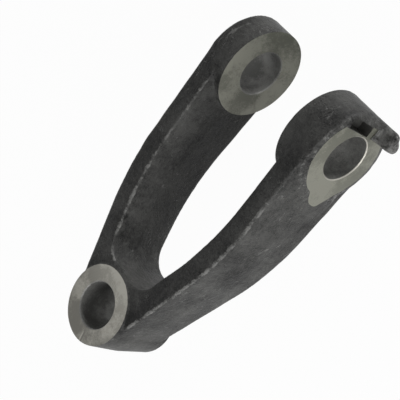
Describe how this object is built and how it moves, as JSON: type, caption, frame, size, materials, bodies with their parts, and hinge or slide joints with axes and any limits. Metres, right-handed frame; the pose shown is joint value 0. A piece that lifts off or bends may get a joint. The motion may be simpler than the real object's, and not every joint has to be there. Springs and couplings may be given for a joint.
{
  "type": "forged yoke",
  "caption": "Drop-forged steel fork yoke with a round single boss, two arms ending in bored eyes, and a locking lug beside a slot on one eye.",
  "frame": {"origin": "middle of the single bore in the round boss", "axes": "+X across the fork towards the eye with the lug, +Y along the fork towards the two eyes, +Z along the single bore"},
  "size_m": [0.105, 0.1937, 0.0512],
  "materials": {
    "forged_steel": "as-forged dark scale, machined eyes, boss rings and bores"
  },
  "bodies": {
    "root": {"yoke": "forged_steel"}
  },
  "joints": []
}
